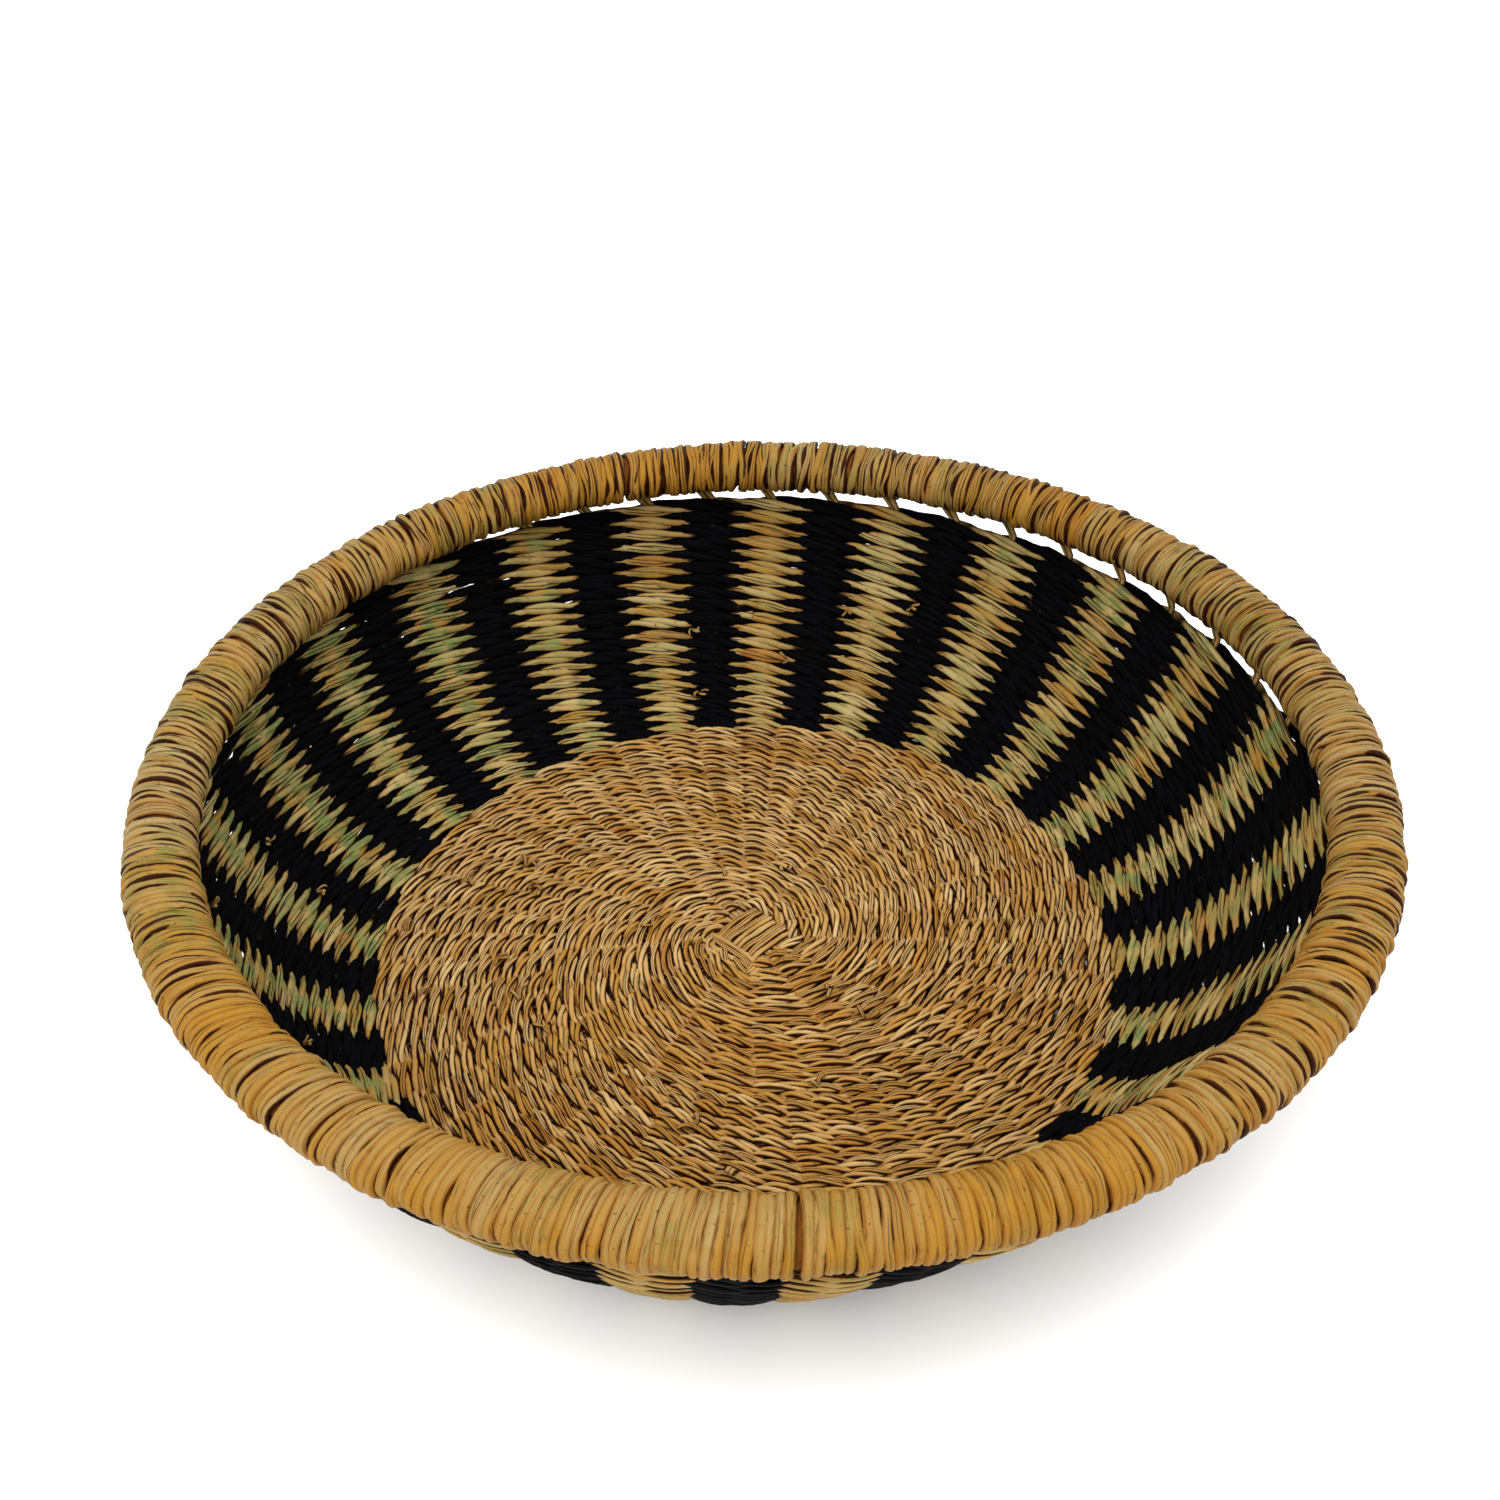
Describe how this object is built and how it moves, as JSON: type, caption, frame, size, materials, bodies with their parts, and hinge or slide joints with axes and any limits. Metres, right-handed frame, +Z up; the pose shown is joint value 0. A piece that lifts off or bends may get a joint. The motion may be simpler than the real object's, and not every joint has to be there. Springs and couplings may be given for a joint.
{
  "type": "basket bowl",
  "caption": "Round shallow basket bowl of twined grass with a plain base, a two-tone vertically striped side, an open band of bare stakes and a thick wrapped rim.",
  "frame": {"origin": "under the middle of the rim, at the surface that the bowl stands on", "axes": "+Z up along the bowl's axis, +Y from the picture's viewer to the back of the bowl, +X to the viewer's right"},
  "size_m": [0.4028, 0.4024, 0.099],
  "materials": {
    "stake": "matte",
    "base_weft": "matte",
    "natural_weft": "matte",
    "black_weft": "satin",
    "rim_core": "matte",
    "rim_wrap": "satin"
  },
  "bodies": {
    "root": {"stake_a01": "stake", "stake_a02": "stake", "stake_a03": "stake", "stake_a04": "stake", "stake_a05": "stake", "stake_a06": "stake", "stake_a07": "stake", "stake_a08": "stake", "stake_a09": "stake", "stake_a10": "stake", "stake_a11": "stake", "stake_a12": "stake", "stake_b01": "stake", "stake_b02": "stake", "stake_b03": "stake", "stake_b04": "stake", "stake_b05": "stake", "stake_b06": "stake", "stake_b07": "stake", "stake_b08": "stake", "stake_b09": "stake", "stake_b10": "stake", "stake_b11": "stake", "stake_b12": "stake", "base_weft_bundles_first": "base_weft", "base_weft_bundles_second": "base_weft", "base_weft_pairs_first": "base_weft", "base_weft_pairs_second": "base_weft", "base_weft_singles_first": "base_weft", "base_weft_singles_second": "base_weft", "side_weft_black_lower": "black_weft", "side_weft_natural_lower": "natural_weft", "side_weft_black_upper": "black_weft", "side_weft_natural_upper": "natural_weft", "rim_core": "rim_core", "rim_wrap_01": "rim_wrap", "rim_wrap_02": "rim_wrap", "rim_wrap_03": "rim_wrap", "rim_wrap_04": "rim_wrap", "rim_wrap_05": "rim_wrap", "rim_wrap_06": "rim_wrap", "rim_wrap_07": "rim_wrap", "rim_wrap_08": "rim_wrap", "rim_wrap_09": "rim_wrap", "rim_wrap_10": "rim_wrap", "rim_wrap_11": "rim_wrap", "rim_wrap_12": "rim_wrap", "rim_wrap_13": "rim_wrap", "rim_wrap_14": "rim_wrap", "rim_wrap_15": "rim_wrap", "rim_wrap_16": "rim_wrap", "rim_wrap_17": "rim_wrap", "rim_wrap_18": "rim_wrap", "rim_wrap_19": "rim_wrap", "rim_wrap_20": "rim_wrap", "rim_wrap_21": "rim_wrap", "rim_wrap_22": "rim_wrap", "rim_wrap_23": "rim_wrap", "rim_wrap_24": "rim_wrap"}
  },
  "joints": []
}
